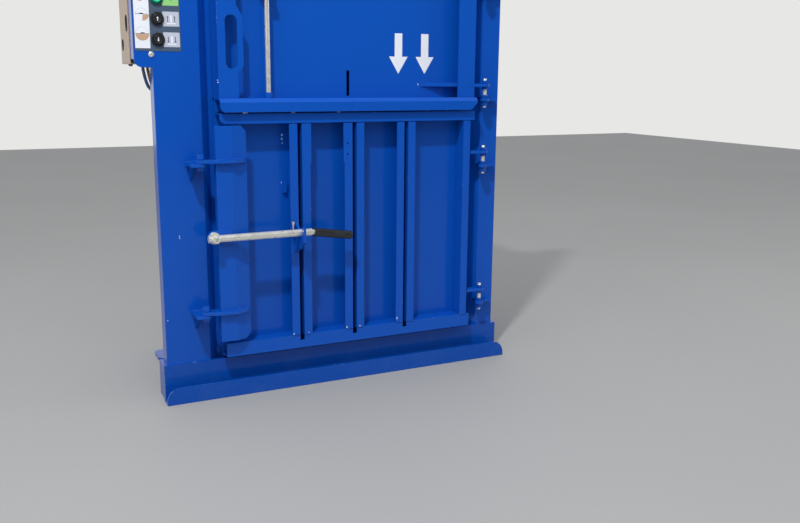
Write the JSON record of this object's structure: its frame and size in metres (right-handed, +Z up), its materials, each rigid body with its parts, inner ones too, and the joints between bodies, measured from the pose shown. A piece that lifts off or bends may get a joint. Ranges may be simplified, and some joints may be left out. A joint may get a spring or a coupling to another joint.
{
  "type": "vertical baling press",
  "caption": "Upright baling press: steel chamber with side-hung lower and upper doors, a clamp bar with lever, a press platen on a top cylinder, and a control panel.",
  "frame": {"origin": "on the floor at the centre of the anchor holes of the base", "axes": "+X to the right along the front, +Y to the back, +Z up"},
  "size_m": [1.187, 0.6786, 2.33],
  "materials": {
    "blue_paint": "semi-gloss blue paint on steel",
    "galvanised": "dull zinc plating",
    "chromed_steel": "ground and chromed",
    "black_plastic": "matt black plastic",
    "beige_plastic": "satin beige plastic",
    "gasket_rubber": "matt black rubber",
    "panel_film": "matt printed film, grey blue with pale fields",
    "grey_paint": "satin grey paint",
    "valve_metal": "machined, bare",
    "blue_grey_cable": "smooth blue grey jacket",
    "brown_cable": "smooth olive brown jacket",
    "white_nylon": "cast white nylon",
    "green_lens": "translucent green cap",
    "red_plastic": "glossy red plastic",
    "yellow_plastic": "glossy yellow plastic",
    "black_rubber": "ribless moulded grip, matt"
  },
  "bodies": {
    "frame": {"base_beam": "blue_paint", "base_rails": "blue_paint", "sill_lip": "blue_paint", "floor_plate": "blue_paint", "left_column": "blue_paint", "right_column": "blue_paint", "wall_left": "blue_paint", "wall_right": "blue_paint", "back_wall": "blue_paint", "header": "blue_paint", "top_beams": "blue_paint", "roof_plate": "blue_paint", "cylinder_flange": "blue_paint", "cylinder_barrel": "blue_paint", "cylinder_cap": "blue_paint", "cable_duct": "blue_paint", "lock_brackets": "blue_paint", "lock_pins": "blue_paint", "hinge_brackets": "blue_paint", "cylinder_gland": "galvanised", "panel_screws": "galvanised", "hinge_bolts": "galvanised", "pipes": "galvanised", "button_collars": "black_plastic", "cable_glands": "black_plastic", "control_box": "beige_plastic", "box_gasket": "gasket_rubber", "overlay_panel": "panel_film", "oil_tank": "grey_paint", "tank_lid": "grey_paint", "motor": "grey_paint", "valve_block": "valve_metal", "blue_cable": "blue_grey_cable", "brown_cable": "brown_cable", "switch_plate": "yellow_plastic"},
    "platen": {"platen": "blue_paint", "platen_shoes": "white_nylon", "piston_rod": "chromed_steel"},
    "clamp_bar": {"clamp_bar": "blue_paint", "clamp_arms": "blue_paint", "lever_bolt": "galvanised"},
    "lever": {"lever_tube": "galvanised", "lever_rod": "galvanised", "lever_grip": "black_rubber"},
    "lower_door": {"lower_door_panel": "blue_paint", "lower_door_rails": "blue_paint", "lower_door_ribs": "blue_paint", "lower_door_straps": "blue_paint", "keeper": "blue_paint", "keeper_pin": "galvanised"},
    "upper_door": {"upper_door_panel": "blue_paint", "upper_door_rails": "blue_paint", "upper_door_straps": "blue_paint", "rod_guides": "blue_paint"},
    "lock_rod": {"lock_rod": "galvanised"},
    "start_button": {"start_button": "green_lens"},
    "up_button": {"up_button": "black_plastic"},
    "down_button": {"down_button": "black_plastic"},
    "stop_button": {"stop_button": "red_plastic"},
    "main_switch": {"main_switch": "red_plastic"}
  },
  "joints": [
    {"name": "platen_press", "type": "slide", "parent": "frame", "child": "platen", "axis": [0, 0, 1], "range_m": [-0.69, 0]},
    {"name": "clamp_swing", "type": "hinge", "parent": "frame", "child": "clamp_bar", "pos_m": [-0.451, -0.248, 0.5], "axis": [0, 0, -1], "range_deg": [0, 130]},
    {"name": "lever_lift", "type": "hinge", "parent": "clamp_bar", "child": "lever", "pos_m": [-0.427, -0.28695, 0.491], "axis": [0, -1, 0], "range_deg": [0, 25]},
    {"name": "lower_door_swing", "type": "hinge", "parent": "frame", "child": "lower_door", "pos_m": [0.485, -0.23, 0.5], "axis": [0, 0, 1], "range_deg": [0, 120]},
    {"name": "upper_door_swing", "type": "hinge", "parent": "frame", "child": "upper_door", "pos_m": [0.485, -0.23, 1.1], "axis": [0, 0, 1], "range_deg": [0, 120]},
    {"name": "lock_rod_lift", "type": "slide", "parent": "upper_door", "child": "lock_rod", "axis": [0, 0, 1], "range_m": [0, 0.04]},
    {"name": "start_button_push", "type": "slide", "parent": "frame", "child": "start_button", "axis": [0, 1, 0], "range_m": [0, 0.004], "stiffness_N_per_m": 600},
    {"name": "up_button_push", "type": "slide", "parent": "frame", "child": "up_button", "axis": [0, 1, 0], "range_m": [0, 0.004], "stiffness_N_per_m": 600},
    {"name": "down_button_push", "type": "slide", "parent": "frame", "child": "down_button", "axis": [0, 1, 0], "range_m": [0, 0.004], "stiffness_N_per_m": 600},
    {"name": "stop_button_push", "type": "slide", "parent": "frame", "child": "stop_button", "axis": [0, 1, 0], "range_m": [0, 0.004], "stiffness_N_per_m": 600},
    {"name": "main_switch_turn", "type": "hinge", "parent": "frame", "child": "main_switch", "pos_m": [-0.542, -0.19, 1.282], "axis": [0, -1, 0], "range_deg": [0, 90]}
  ]
}
